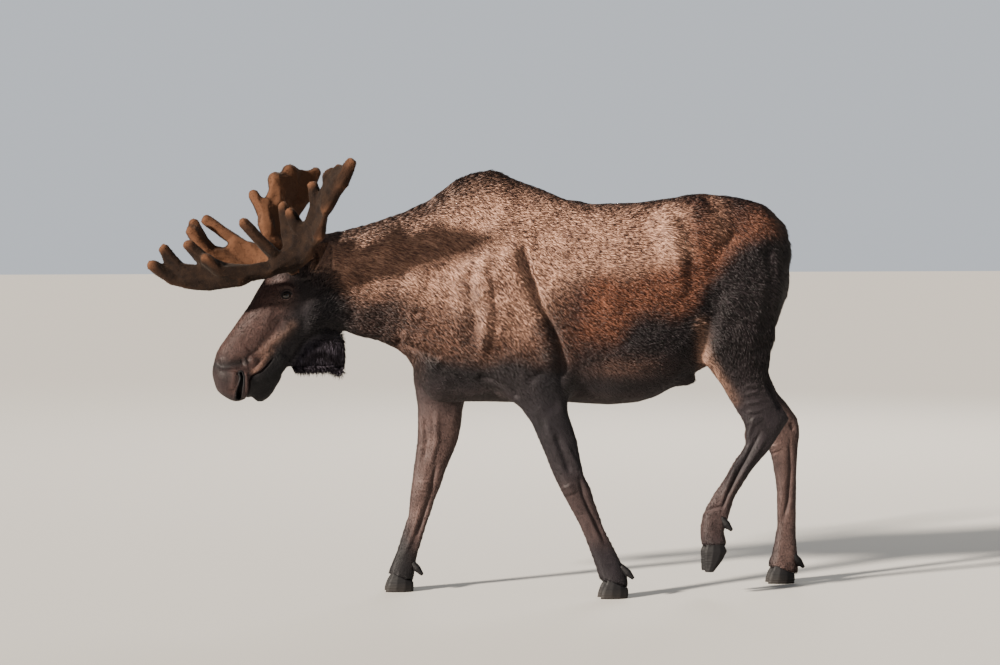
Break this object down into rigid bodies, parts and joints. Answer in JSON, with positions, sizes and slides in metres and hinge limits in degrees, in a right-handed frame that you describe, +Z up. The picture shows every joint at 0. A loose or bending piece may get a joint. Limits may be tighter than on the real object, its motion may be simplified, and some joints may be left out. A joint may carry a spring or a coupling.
{
  "type": "moose",
  "caption": "Life-size still model of a walking bull moose in summer velvet, with coat, palmed antlers, throat bell and cloven hooves.",
  "frame": {"origin": "middle of the model's box at floor level", "axes": "+X towards the tail, so the animal faces -X; -Y is its left side; +Z up"},
  "size_m": [3.0738, 1.1804, 1.9808],
  "materials": {
    "coat": "warm brown summer coat of flat guard hair, darker along the back, belly and haunches",
    "dark_coat": "long near-black hair of the throat bell",
    "leg_coat": "short close grey-brown hair of the lower legs",
    "velvet": "soft brown velvet skin over growing antler",
    "hoof_horn": "dark semi-matt horn, scuffed at the edge",
    "eye": "wet dark brown eye"
  },
  "bodies": {
    "root": {"foreleg_left_forearm": "leg_coat", "foreleg_left_cannon": "leg_coat", "foreleg_left_foot": "leg_coat", "foreleg_right_forearm": "leg_coat", "foreleg_right_cannon": "leg_coat", "foreleg_right_foot": "leg_coat", "hindleg_left_thigh": "coat", "hindleg_left_gaskin": "leg_coat", "hindleg_left_cannon": "leg_coat", "hindleg_left_foot": "leg_coat", "hindleg_right_thigh": "coat", "hindleg_right_gaskin": "leg_coat", "hindleg_right_cannon": "leg_coat", "hindleg_right_foot": "leg_coat", "hoof_foreleg_left_claw_left": "hoof_horn", "hoof_foreleg_left_dewclaw_left": "hoof_horn", "hoof_foreleg_left_claw_right": "hoof_horn", "hoof_foreleg_left_dewclaw_right": "hoof_horn", "hoof_foreleg_right_claw_left": "hoof_horn", "hoof_foreleg_right_dewclaw_left": "hoof_horn", "hoof_foreleg_right_claw_right": "hoof_horn", "hoof_foreleg_right_dewclaw_right": "hoof_horn", "hoof_hindleg_left_claw_left": "hoof_horn", "hoof_hindleg_left_dewclaw_left": "hoof_horn", "hoof_hindleg_left_claw_right": "hoof_horn", "hoof_hindleg_left_dewclaw_right": "hoof_horn", "hoof_hindleg_right_claw_left": "hoof_horn", "hoof_hindleg_right_dewclaw_left": "hoof_horn", "hoof_hindleg_right_claw_right": "hoof_horn", "hoof_hindleg_right_dewclaw_right": "hoof_horn", "eye_left": "eye", "eye_right": "eye", "head": "coat", "neck": "coat", "trunk": "coat", "ear_left": "coat", "antler_left_brow_palm": "velvet", "antler_left_main_palm": "velvet", "ear_right": "coat", "antler_right_brow_palm": "velvet", "antler_right_main_palm": "velvet", "bell": "dark_coat", "tail": "coat"}
  },
  "joints": []
}
